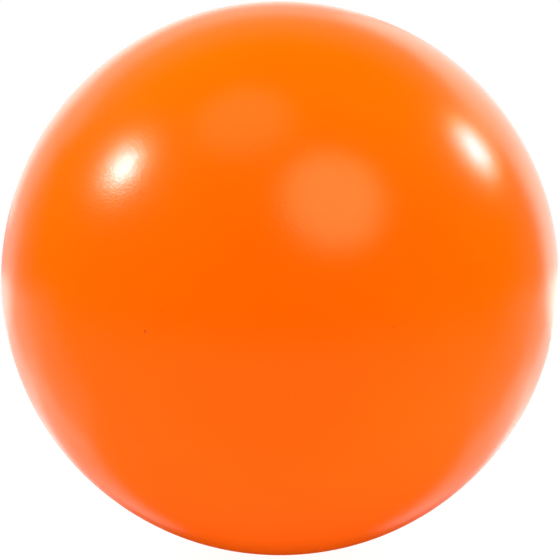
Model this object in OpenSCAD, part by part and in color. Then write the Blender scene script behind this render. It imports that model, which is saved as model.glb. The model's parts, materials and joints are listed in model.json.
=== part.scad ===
// Moulded foam stress ball.
// A sprayed colour coat in two halves, the dense skin that the foam forms against it,
// the open-celled core and the trimmed stub of the pour gate.
// The origin is the lowest point of the ball, and +Z runs up through the gate and the centre.

/* [Ball] */
// Outer diameter of the ball
ball_d = 63; // [40:1:100]

/* [Layers] */
// Thickness of the sprayed colour coat
coat_t = 0.2; // [0.1:0.05:0.5]
// Thickness of the dense skin under the coat
skin_t = 1.2; // [0.6:0.1:3]
// Bond line between one layer and the next
bond_gap = 0.05; // [0.02:0.01:0.1]

/* [Gate] */
// Diameter of the trimmed pour gate
gate_d = 7; // [3:0.5:12]
// Height of the gate stub above the lowest point of the ball
gate_h = 6; // [4:0.5:12]

/* [Hidden] */
$fn = 96;

ball_r = ball_d / 2;
coat_inner_r = ball_r - coat_t;
skin_r = coat_inner_r - bond_gap;
skin_inner_r = skin_r - skin_t;
core_r = skin_inner_r - bond_gap;
gate_hole_d = gate_d + 2 * bond_gap;

// A ball about the centre of the moulding
module ball(r) {
    translate([0, 0, ball_r])
        sphere(r = r);
}

// One layer of the wall, all round
module shell(outer_r, inner_r) {
    difference() {
        ball(outer_r);
        ball(inner_r);
    }
}

// The space of one half of the mould: side is 1 above the parting plane and -1 below it
module mould_half(side) {
    translate([0, 0, ball_r + side * ball_r])
        cube([2 * ball_d, 2 * ball_d, ball_d], center = true);
}

// One half of a layer
module half_shell(outer_r, inner_r, side) {
    intersection() {
        shell(outer_r, inner_r);
        mould_half(side);
    }
}

// The hole that the gate leaves in a layer, up to a height
module gate_hole(h) {
    translate([0, 0, -bond_gap])
        cylinder(d = gate_hole_d, h = h + bond_gap);
}

module upper_coat() {
    color("darkorange")
        half_shell(ball_r, coat_inner_r, 1);
}

module lower_coat() {
    color("darkorange")
        difference() {
            half_shell(ball_r, coat_inner_r, -1);
            gate_hole(gate_h);
        }
}

module upper_skin() {
    color("moccasin")
        half_shell(skin_r, skin_inner_r, 1);
}

module lower_skin() {
    color("moccasin")
        difference() {
            half_shell(skin_r, skin_inner_r, -1);
            gate_hole(gate_h);
        }
}

module foam_core() {
    color("cornsilk")
        difference() {
            ball(core_r);
            gate_hole(gate_h + bond_gap);
        }
}

// The cut face of the stub follows the curve of the ball
module gate_plug() {
    color("orange")
        intersection() {
            ball(ball_r);
            cylinder(d = gate_d, h = gate_h);
        }
}

lower_coat();
lower_skin();
foam_core();
gate_plug();
upper_coat();
upper_skin();
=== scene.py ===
import json
import math
import random

import bpy
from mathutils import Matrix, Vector


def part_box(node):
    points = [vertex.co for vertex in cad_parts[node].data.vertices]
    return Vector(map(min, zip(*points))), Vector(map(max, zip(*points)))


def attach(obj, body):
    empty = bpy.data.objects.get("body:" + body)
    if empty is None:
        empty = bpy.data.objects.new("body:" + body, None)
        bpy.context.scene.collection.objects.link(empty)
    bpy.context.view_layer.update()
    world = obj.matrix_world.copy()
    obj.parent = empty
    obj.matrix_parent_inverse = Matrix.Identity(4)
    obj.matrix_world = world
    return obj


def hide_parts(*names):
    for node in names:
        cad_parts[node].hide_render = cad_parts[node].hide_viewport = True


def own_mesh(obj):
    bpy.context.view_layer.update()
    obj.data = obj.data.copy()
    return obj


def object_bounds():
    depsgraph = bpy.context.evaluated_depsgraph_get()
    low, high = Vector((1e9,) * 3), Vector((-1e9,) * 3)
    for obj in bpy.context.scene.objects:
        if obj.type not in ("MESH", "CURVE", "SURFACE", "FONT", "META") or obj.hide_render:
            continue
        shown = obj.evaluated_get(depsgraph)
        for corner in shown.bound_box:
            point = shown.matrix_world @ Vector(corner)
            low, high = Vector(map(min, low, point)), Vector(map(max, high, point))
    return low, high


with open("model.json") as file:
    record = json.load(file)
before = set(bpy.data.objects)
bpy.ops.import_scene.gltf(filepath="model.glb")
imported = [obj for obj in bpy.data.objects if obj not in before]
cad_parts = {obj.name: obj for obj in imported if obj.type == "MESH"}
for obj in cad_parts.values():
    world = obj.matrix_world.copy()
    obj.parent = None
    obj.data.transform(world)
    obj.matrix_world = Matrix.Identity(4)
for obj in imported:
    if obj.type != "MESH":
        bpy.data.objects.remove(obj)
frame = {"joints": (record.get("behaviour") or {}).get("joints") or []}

cad_low, cad_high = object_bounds()

# The camera: a long lens a little above the middle of the ball, looking down at it slightly,
# so that the ball all but fills the view. The ball settles a little under its own weight.
MM = 0.001
SETTLE = 0.9935
LENS_MM = 120
SENSOR_MM = 36
CAMERA_LIFT = math.radians(2.0)
FILL = 0.9965
AIM_DROP = 0.2 * MM

ball_r = (cad_high.z - cad_low.z) / 2
ball_high = 2 * ball_r * SETTLE
parting_z = cad_low.z + ball_high / 2
middle = Vector(((cad_low.x + cad_high.x) / 2, (cad_low.y + cad_high.y) / 2, parting_z))
camera_far = ball_r / math.sin(math.atan(SENSOR_MM / 2 / LENS_MM * FILL))
camera = bpy.data.objects.new("camera", bpy.data.cameras.new("camera"))
bpy.context.scene.collection.objects.link(camera)
camera.data.lens = LENS_MM
camera.data.sensor_width = SENSOR_MM
camera.data.clip_start = ball_r / 10
towards_camera = Vector((0, -math.cos(CAMERA_LIFT), math.sin(CAMERA_LIFT)))
camera.location = middle - Vector((0, 0, AIM_DROP)) + towards_camera * camera_far
camera.rotation_mode = "QUATERNION"
camera.rotation_quaternion = (-towards_camera).to_track_quat("-Z", "Y")
bpy.context.scene.camera = camera


# The colour coat: an elastic orange paint, sprayed into the two halves of the mould, so that it
# comes out as two thin cups that meet edge to edge at the parting plane. It is satin, with a fine
# orange peel, and has a few pinholes where a bubble of foam lay against it; the faces of these
# pits are painted dark, as painted shade in the small hollows.
ORANGE = (0.95, 0.115, 0.0, 1)
ORANGE_DEEP = (0.94, 0.108, 0.0, 1)
SCUFF_PALE = (0.95, 0.145, 0.004, 1)
PIT_PAINTED_SHADE = (0.52, 0.035, 0.0, 1)
COAT_T = 0.2 * MM
GRID_CUTS = 64
WAVE_SIZE = 9 * MM
WAVE_HIGH = 0.03 * MM
EDGE_ROW = 0.06 * MM
SMOOTH_ANGLE = math.radians(30)
PEEL_SIZE = 0.5 * MM
PEEL_DEEP = 0.003 * MM
SAND_SIZE = 0.22 * MM
SPRAY_SIZE = 13 * MM
DOT_SIZE = 0.35 * MM
SCRATCH_SIZE = 1.6 * MM
HANDLED_SIZE = 11 * MM
FRONT_PITS = ((-25.4, -7.9, 0.52), (21, -6.9, 0.42), (-21.8, -3.9, 0.28))
FAR_PITS = 9
FAR_PIT_BEARINGS = (65, 295)
FAR_PIT_RISES = (-0.9, 0.9)
FAR_PIT_WIDTHS = (0.22, 0.42)
PIT_OUT = 0.7
BOND = 0.05 * MM
CUT_PAST = 1 * MM
SHELL_CUT = 3 * MM
ROUND_SIDES = 96
TRAVEL = max(next(j for j in frame["joints"] if j["name"] == "squeeze")["range_m"])
keep_share = 1 - TRAVEL / ball_high
gate_low, gate_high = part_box("gate_plug")
gate_r = (gate_high.x - gate_low.x) / 2
gate_top = cad_low.z + (gate_high.z - cad_low.z) * SETTLE


def deselect_all():
    bpy.ops.object.select_all(action="DESELECT")


def apply_modifier(piece, kind, **settings):
    modifier = piece.modifiers.new(kind.lower(), kind)
    for name, value in settings.items():
        setattr(modifier, name, value)
    bpy.context.view_layer.objects.active = piece
    bpy.ops.object.modifier_apply(modifier=modifier.name)


def way(bearing, height):
    """A direction from the ball: degrees round from the front towards the right, and up."""
    turn, rise = math.radians(bearing), math.radians(height)
    return Vector((math.sin(turn) * math.cos(rise), -math.cos(turn) * math.cos(rise), math.sin(rise)))


def settle(piece):
    """Sets a piece made about its own middle down in its place, a little flattened."""
    deselect_all()
    piece.select_set(True)
    bpy.context.view_layer.objects.active = piece
    piece.scale = (1, 1, SETTLE)
    piece.location = middle
    bpy.ops.object.transform_apply(location=True, rotation=False, scale=True)


def new_ball(name, radius, cuts, wave_size, wave_high):
    """A ball of even quads about the middle of the object, with a slight natural unevenness."""
    deselect_all()
    bpy.ops.mesh.primitive_cube_add(size=2, location=(0, 0, 0))
    ball = bpy.context.object
    ball.name = ball.data.name = name
    bpy.ops.object.mode_set(mode="EDIT")
    bpy.ops.mesh.select_all(action="SELECT")
    bpy.ops.mesh.subdivide(number_cuts=cuts)
    bpy.ops.transform.tosphere(value=1)
    bpy.ops.object.mode_set(mode="OBJECT")
    reach = max(v.co.length for v in ball.data.vertices)
    ball.scale = (radius / reach,) * 3
    bpy.ops.object.transform_apply(location=False, rotation=False, scale=True)
    clouds = bpy.data.textures.new(name + "_waves", "CLOUDS")
    clouds.noise_scale = wave_size
    apply_modifier(ball, "DISPLACE", texture=clouds, texture_coords="LOCAL",
                   strength=wave_high, mid_level=1)
    settle(ball)
    return ball


def new_cup(name, radius, wall, side):
    """Half of one layer, above the parting plane for side 1 and below it for -1, as a closed cup."""
    cup = new_ball(name, radius, GRID_CUTS, WAVE_SIZE, WAVE_HIGH)
    bpy.ops.object.mode_set(mode="EDIT")
    bpy.ops.mesh.select_all(action="SELECT")
    bpy.ops.mesh.bisect(plane_co=(0, 0, parting_z), plane_no=(0, 0, -side), clear_outer=True)
    bpy.ops.mesh.select_all(action="SELECT")
    bpy.ops.mesh.bisect(plane_co=(0, 0, parting_z + side * EDGE_ROW), plane_no=(0, 0, side))
    bpy.ops.object.mode_set(mode="OBJECT")
    apply_modifier(cup, "SOLIDIFY", thickness=wall, offset=-1, use_even_offset=True)
    return cup


def cut_away(piece, cutter):
    """Cuts one shape out of a piece. The cut faces take the cutter's finish."""
    apply_modifier(piece, "BOOLEAN", operation="DIFFERENCE", solver="EXACT", object=cutter,
                   material_mode="TRANSFER")
    bpy.data.objects.remove(cutter)


def gate_cutter(radius, top):
    """A round bar that reaches up through the bottom of the ball to the height of top."""
    deselect_all()
    bottom = cad_low.z - CUT_PAST
    place = (middle.x, middle.y, (top + bottom) / 2)
    bpy.ops.mesh.primitive_cylinder_add(
        vertices=ROUND_SIDES, radius=radius, depth=top - bottom, location=place
    )
    return bpy.context.object


def pit_cutter(pits, finish):
    """Small burst bubbles, each as its bearing, height and diameter in millimetres.

    Their middles stand out of the coat by PIT_OUT of their radius, so each leaves a shallow dish.
    """
    deselect_all()
    made = []
    for bearing, height, wide in pits:
        reach = way(bearing, height) * (ball_r + PIT_OUT * wide * MM / 2)
        centre = middle + Vector((reach.x, reach.y, reach.z * SETTLE))
        bpy.ops.mesh.primitive_ico_sphere_add(subdivisions=3, radius=wide * MM / 2, location=centre)
        bpy.context.object.data.materials.append(finish.material)
        made.append(bpy.context.object)
    for pit in made:
        pit.select_set(True)
    bpy.ops.object.join()
    return bpy.context.object


def smooth(piece):
    deselect_all()
    piece.select_set(True)
    bpy.context.view_layer.objects.active = piece
    bpy.ops.object.shade_smooth_by_angle(angle=SMOOTH_ANGLE)


class Wire:
    """A socket of a finish. Sums and products of wires and numbers add the Math nodes."""

    def __init__(self, finish, socket):
        self.finish = finish
        self.socket = socket

    def math(self, operation, first, second):
        return self.finish.node("ShaderNodeMath", {"operation": operation}, {0: first, 1: second})

    def __add__(self, other):
        return self.math("ADD", self, other)

    def __radd__(self, other):
        return self.math("ADD", other, self)

    def __sub__(self, other):
        return self.math("SUBTRACT", self, other)

    def __rsub__(self, other):
        return self.math("SUBTRACT", other, self)

    def __mul__(self, other):
        return self.math("MULTIPLY", self, other)

    def __rmul__(self, other):
        return self.math("MULTIPLY", other, self)


class Finish:
    """One material, with its pattern fixed to the object."""

    def __init__(self, name):
        self.material = bpy.data.materials.new(name)
        self.material.use_nodes = True
        self.tree = self.material.node_tree
        self.shader = self.tree.nodes["Principled BSDF"]
        self.place = self.node("ShaderNodeTexCoord", {}, {}, out="Object")

    def node(self, kind, settings, sockets, out=0):
        made = self.tree.nodes.new(kind)
        for name, value in settings.items():
            setattr(made, name, value)
        self.fill(made, sockets)
        return Wire(self, made.outputs[out])

    def fill(self, node, sockets):
        for name, value in sockets.items():
            if isinstance(value, Wire):
                self.tree.links.new(value.socket, node.inputs[name])
            else:
                node.inputs[name].default_value = value

    def shade(self, **sockets):
        self.fill(self.shader, {name.replace("_", " "): value for name, value in sockets.items()})

    def grain(self, size, detail=2, stretch=(1, 1, 1)):
        """Noise from 0 to 1, with lumps of about the given size."""
        place = self.node("ShaderNodeMapping", {}, {"Vector": self.place, "Scale": stretch})
        return self.node("ShaderNodeTexNoise", {}, {"Vector": place, "Scale": 1 / size, "Detail": detail})

    def cells(self, size):
        """Rounded cells, 0 in the middle of each."""
        return self.node("ShaderNodeTexVoronoi", {}, {"Vector": self.place, "Scale": 1 / size})

    def between(self, value, low, high):
        """0 below low, 1 above high and smooth in between."""
        settings = {"interpolation_type": "SMOOTHSTEP"}
        return self.node("ShaderNodeMapRange", settings, {0: value, 1: low, 2: high})

    def mix(self, share, first, second):
        return self.node("ShaderNodeMix", {"data_type": "RGBA"}, {0: share, 6: first, 7: second}, out=2)

    def bump(self, height, deep):
        return self.node("ShaderNodeBump", {}, {"Height": height, "Distance": deep, "Strength": 1})


coat_finish = Finish("sprayed_orange_coat")
uneven_spray = coat_finish.between(coat_finish.grain(SPRAY_SIZE), 0.35, 0.65)
spray_dots = coat_finish.grain(DOT_SIZE, detail=3)
peel = coat_finish.grain(PEEL_SIZE)
sand = coat_finish.grain(SAND_SIZE)
scratches = coat_finish.between(coat_finish.grain(SCRATCH_SIZE, 3, stretch=(1, 1, 7)), 0.60, 0.72)
handled = coat_finish.between(coat_finish.grain(HANDLED_SIZE), 0.57, 0.68)
scuffs = scratches * handled
fleck = coat_finish.between(spray_dots, 0.3, 0.7)
coat_colour = coat_finish.mix(uneven_spray * 0.6 + fleck * 0.4, ORANGE, ORANGE_DEEP)
coat_finish.shade(
    Base_Color=coat_finish.mix(scuffs * 0.25, coat_colour, SCUFF_PALE),
    Roughness=0.14 + spray_dots * 0.06 + sand * 0.08 + scuffs * 0.03,
    Normal=coat_finish.bump(peel + sand * 5, PEEL_DEEP),
    Specular_IOR_Level=0.32,
    Specular_Tint=(1, 0.88, 0.36, 1),
)

# The pit faces: painted shade, dark mixed with the deep orange in a fine grain, standing in for the shade
# inside each pinhole.
pit_shade_finish = Finish("pinhole_painted_shade")
pit_shade_finish.shade(
    Base_Color=pit_shade_finish.mix(pit_shade_finish.grain(0.08 * MM), PIT_PAINTED_SHADE, ORANGE_DEEP),
    Roughness=0.55 + pit_shade_finish.grain(0.1 * MM) * 0.2,
    Specular_IOR_Level=0.2,
)

chance = random.Random(11)
far_pits = [
    (
        chance.uniform(*FAR_PIT_BEARINGS),
        math.degrees(math.asin(chance.uniform(*FAR_PIT_RISES))),
        chance.uniform(*FAR_PIT_WIDTHS),
    )
    for _ in range(FAR_PITS)
]
all_pits = list(FRONT_PITS) + far_pits

lower_coat_piece = new_cup("lower_colour_coat", ball_r, COAT_T, -1)
upper_coat_piece = new_cup("upper_colour_coat", ball_r, COAT_T, 1)
for cup in (lower_coat_piece, upper_coat_piece):
    cup.data.materials.append(coat_finish.material)
cut_away(lower_coat_piece, gate_cutter(gate_r + BOND, cad_low.z + SHELL_CUT))
cut_away(lower_coat_piece, pit_cutter([pit for pit in all_pits if pit[1] < 0], pit_shade_finish))
cut_away(upper_coat_piece, pit_cutter([pit for pit in all_pits if pit[1] >= 0], pit_shade_finish))


def place_soft(piece, node, body):
    """Gives a soft piece to its body, with a mesh of its own, and hides the part it stands for."""
    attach(piece, body)
    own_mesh(piece)
    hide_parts(node)


smooth(lower_coat_piece)
smooth(upper_coat_piece)
place_soft(lower_coat_piece, "lower_coat", "lower_half")
place_soft(upper_coat_piece, "upper_coat", "upper_half")


# The skin: where the rising foam meets the mould it packs into a dense cream wall, grown fast to
# the coat. It forms in both halves of the mould, and the lower half is open at the pour gate.
SKIN_CREAM = (0.83, 0.66, 0.38, 1)
SKIN_DEEP = (0.74, 0.55, 0.28, 1)
SKIN_CELL = 0.25 * MM
skin_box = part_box("lower_skin")
skin_r = (skin_box[1].x - skin_box[0].x) / 2
core_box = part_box("foam_core")
core_r = (core_box[1].x - core_box[0].x) / 2

skin_finish = Finish("dense_foam_skin")
skin_cells = skin_finish.cells(SKIN_CELL)
skin_finish.shade(
    Base_Color=skin_finish.mix(skin_finish.grain(4 * MM) * 0.6 + skin_cells * 0.4, SKIN_CREAM, SKIN_DEEP),
    Roughness=0.7 + skin_finish.grain(1 * MM) * 0.15,
    Normal=skin_finish.bump(skin_cells, 0.03 * MM),
    Specular_IOR_Level=0.3,
)
for side, half in ((-1, "lower"), (1, "upper")):
    skin = new_cup(half + "_foam_skin", skin_r, skin_r - core_r - BOND, side)
    skin.data.materials.append(skin_finish.material)
    if half == "lower":
        cut_away(skin, gate_cutter(gate_r + BOND, cad_low.z + SHELL_CUT))
    smooth(skin)
    place_soft(skin, half + "_skin", half + "_half")


# The core: open-celled polyurethane foam that fills the ball, risen in the closed mould round the
# stub of the gate. Its cells give way in a squeeze and bring the ball back to round.
CORE_CREAM = (0.88, 0.75, 0.48, 1)
CORE_SHADE = (0.66, 0.50, 0.25, 1)
CORE_CUTS = 63
CORE_WAVE_SIZE = 2.2 * MM
CORE_WAVE_HIGH = 0.3 * MM
CORE_CELL = 0.7 * MM

core_finish = Finish("open_celled_foam")
core_cells = core_finish.cells(CORE_CELL)
# The open pores are painted darker with CORE_SHADE, as painted shade inside them.
shaded_pores = 1 - core_finish.between(core_cells, 0.15, 0.5)
core_finish.shade(
    Base_Color=core_finish.mix(shaded_pores * 0.7 + core_finish.grain(3 * MM) * 0.3, CORE_CREAM, CORE_SHADE),
    Roughness=0.85 + core_finish.grain(0.6 * MM) * 0.1,
    Normal=core_finish.bump(core_cells + core_finish.cells(0.3 * MM) * 0.4, 0.2 * MM),
    Specular_IOR_Level=0.2,
)
core = new_ball("foam_core_fill", core_r, CORE_CUTS, CORE_WAVE_SIZE, CORE_WAVE_HIGH)
core.data.materials.append(core_finish.material)
cut_away(core, gate_cutter(gate_r + BOND, gate_top + BOND))
smooth(core)
place_soft(core, "foam_core", "lower_half")


# The gate stub: the foam that set in the pour hole, cut off flush with the ball and sanded, then
# touched up with the coat's colour. Its cut cells show as fine open bubbles.
GATE_ORANGE = (0.86, 0.10, 0.008, 1)
GATE_CREAM = (0.80, 0.42, 0.15, 1)
GATE_VOXEL = 0.16 * MM
GATE_CELL = 0.55 * MM
GATE_PIT_DEEP = 0.12 * MM
GATE_SAND = 0.03 * MM

gate_finish = Finish("cut_gate_foam")
gate_cells = gate_finish.cells(GATE_CELL)
bared = 1 - gate_finish.between(gate_cells, 0.12, 0.40)
gate_finish.shade(
    Base_Color=gate_finish.mix(bared * gate_finish.grain(1.2 * MM), GATE_ORANGE, GATE_CREAM),
    Roughness=0.6 + gate_finish.grain(0.3 * MM) * 0.25,
    Normal=gate_finish.bump(gate_cells + gate_finish.grain(0.2 * MM) * 0.5, 0.05 * MM),
    Specular_IOR_Level=0.3,
)
flush_ball = new_ball("flush_cut", ball_r - GATE_SAND, GRID_CUTS, WAVE_SIZE, WAVE_HIGH)
gate = gate_cutter(gate_r, gate_top)
gate.name = gate.data.name = "gate_stub"
apply_modifier(gate, "BOOLEAN", operation="INTERSECT", solver="EXACT", object=flush_ball)
bpy.data.objects.remove(flush_ball)
deselect_all()
gate.select_set(True)
bpy.context.view_layer.objects.active = gate
bpy.ops.object.transform_apply(location=True, rotation=True, scale=True)
apply_modifier(gate, "REMESH", mode="VOXEL", voxel_size=GATE_VOXEL)
bubbles = bpy.data.textures.new("gate_bubbles", "VORONOI")
bubbles.noise_scale = GATE_CELL
apply_modifier(gate, "DISPLACE", texture=bubbles, texture_coords="LOCAL",
               strength=GATE_PIT_DEEP, mid_level=1)
gate.data.materials.append(gate_finish.material)
smooth(gate)
place_soft(gate, "gate_plug", "lower_half")


# The studio: a round white table that glows, which gloss and shadows leave out, a lit white
# backdrop and soft lamps. Lamps stand at a bearing, counted from the front towards the right,
# and at a height, both in degrees.
TABLE_R = 0.20
TABLE_BACK = 0.11
TABLE_SIDES = 128
WHITE = (1, 1, 1)
COOL = (0.50, 0.52, 1)
PALE_COOL = (0.58, 0.62, 1)
WARM = (1, 0.95, 0.45)
TABLE_WHITE = (0.19, 0.19, 0.19, 1)
TABLE_GLOW = 0.94

deselect_all()
bpy.ops.mesh.primitive_circle_add(
    vertices=TABLE_SIDES, radius=TABLE_R, fill_type="NGON", location=(0, TABLE_BACK, cad_low.z)
)
bpy.ops.object.transform_apply(location=True, rotation=True, scale=True)
table = bpy.context.object
table.name = table.data.name = "table"
table_finish = Finish("white_table")
table_finish.shade(
    Base_Color=TABLE_WHITE,
    Roughness=0.6,
    Specular_IOR_Level=0.0,
    Emission_Color=(1, 1, 1, 1),
    Emission_Strength=TABLE_GLOW,
)
table.data.materials.append(table_finish.material)
table.visible_glossy = False
table.visible_shadow = False


def lamp(name, bearing, height, far, wide, radiance, tall=None, glints=True, fills=True, colour=WHITE):
    """A soft lamp that faces the ball, with its distance and size in metres.

    Its power follows from how bright its face looks. It can be left out of the gloss, where it
    only fills, or out of the matt light, where it only makes a glint.
    """
    light = bpy.data.lights.new(name, "AREA")
    light.shape = "RECTANGLE" if tall else "DISK"
    light.size = wide
    area = math.pi * wide * wide / 4
    if tall:
        light.size_y = tall
        area = wide * tall
    light.energy = radiance * math.pi * area
    light.color = colour
    light.cycles.use_multiple_importance_sampling = glints
    made = bpy.data.objects.new(name, light)
    bpy.context.scene.collection.objects.link(made)
    made.location = middle + way(bearing, height) * far
    made.rotation_mode = "QUATERNION"
    made.rotation_quaternion = way(bearing, height).to_track_quat("Z", "Y")
    made.visible_camera = False
    made.visible_glossy = glints
    made.visible_diffuse = fills


lamp("left_lamp", -80, 35.6, 0.8, 0.07, 205, tall=0.12, fills=False, colour=COOL)
lamp("right_lamp", 110, 31.8, 0.8, 0.07, 66, tall=0.13, fills=False, colour=PALE_COOL)
lamp("left_halo", -80, 35.6, 0.8, 0.32, 6, fills=False, colour=WARM)
lamp("right_halo", 110, 31.8, 0.8, 0.28, 5, fills=False, colour=WARM)
lamp("round_lamp", 23, 31.3, 0.7, 0.46, 4.5)
lamp("ceiling_near", -27, 64, 0.7, 0.38, 1.3)
lamp("backdrop", 180, 19, 0.6, 1.3, 0.69, tall=0.58)
lamp("backdrop_top", 180, 50, 0.6, 1.2, 0.25, tall=0.3)
lamp("backdrop_right", 150, 16, 0.6, 0.4, 0.75, tall=0.5)
lamp("backdrop_left", -168, 14.5, 0.6, 0.4, 0.9, tall=0.24)
lamp("edge_right", 128, 2, 0.6, 0.4, 0.15, tall=0.35)
lamp("edge_left", -134, 2, 0.6, 0.35, 0.2, tall=0.4)
lamp("low_left", -156, -10, 0.6, 0.36, 0.8, tall=0.18)
lamp("low_right", 156, -10, 0.6, 0.36, 0.9, tall=0.18)
lamp("low_back", 180, -12, 0.6, 0.5, 0.6, tall=0.14)
lamp("lower_left", -145, -27, 0.6, 0.35, 0.55, tall=0.25)
lamp("rim_left", -138, -14, 0.6, 0.3, 0.28, tall=0.25)
lamp("lower_right", 145, -27, 0.6, 0.35, 0.6, tall=0.25)
lamp("rim_right", 137, -14, 0.6, 0.3, 0.4, tall=0.25)
lamp("side_left", -118, -20, 0.6, 0.35, 0.5, tall=0.35)
lamp("side_right", 118, -20, 0.6, 0.35, 0.35, tall=0.35)
lamp("top_fill", 0, 85, 0.7, 0.9, 3.3, glints=False)
lamp("left_fill", -75, 10, 0.7, 0.9, 2.1, glints=False)
lamp("right_fill", 75, 0, 0.7, 0.9, 1.6, glints=False)
lamp("left_back_fill", -120, 50, 0.7, 0.8, 1.2, glints=False)
lamp("back_high_fill", 180, 60, 0.7, 0.8, 1.0, glints=False)
lamp("left_low_fill", -110, 0, 0.7, 0.8, 1.6, glints=False)
lamp("right_low_fill", 110, 0, 0.7, 0.8, 1.6, glints=False)

world = bpy.data.worlds.new("studio")
bpy.context.scene.world = world
world.use_nodes = True
world.node_tree.nodes["Background"].inputs["Color"].default_value = (1, 1, 1, 1)
world.node_tree.nodes["Background"].inputs["Strength"].default_value = 1.0
world.cycles_visibility.diffuse = False
world.cycles_visibility.glossy = False
bpy.context.scene.view_settings.view_transform = "Standard"
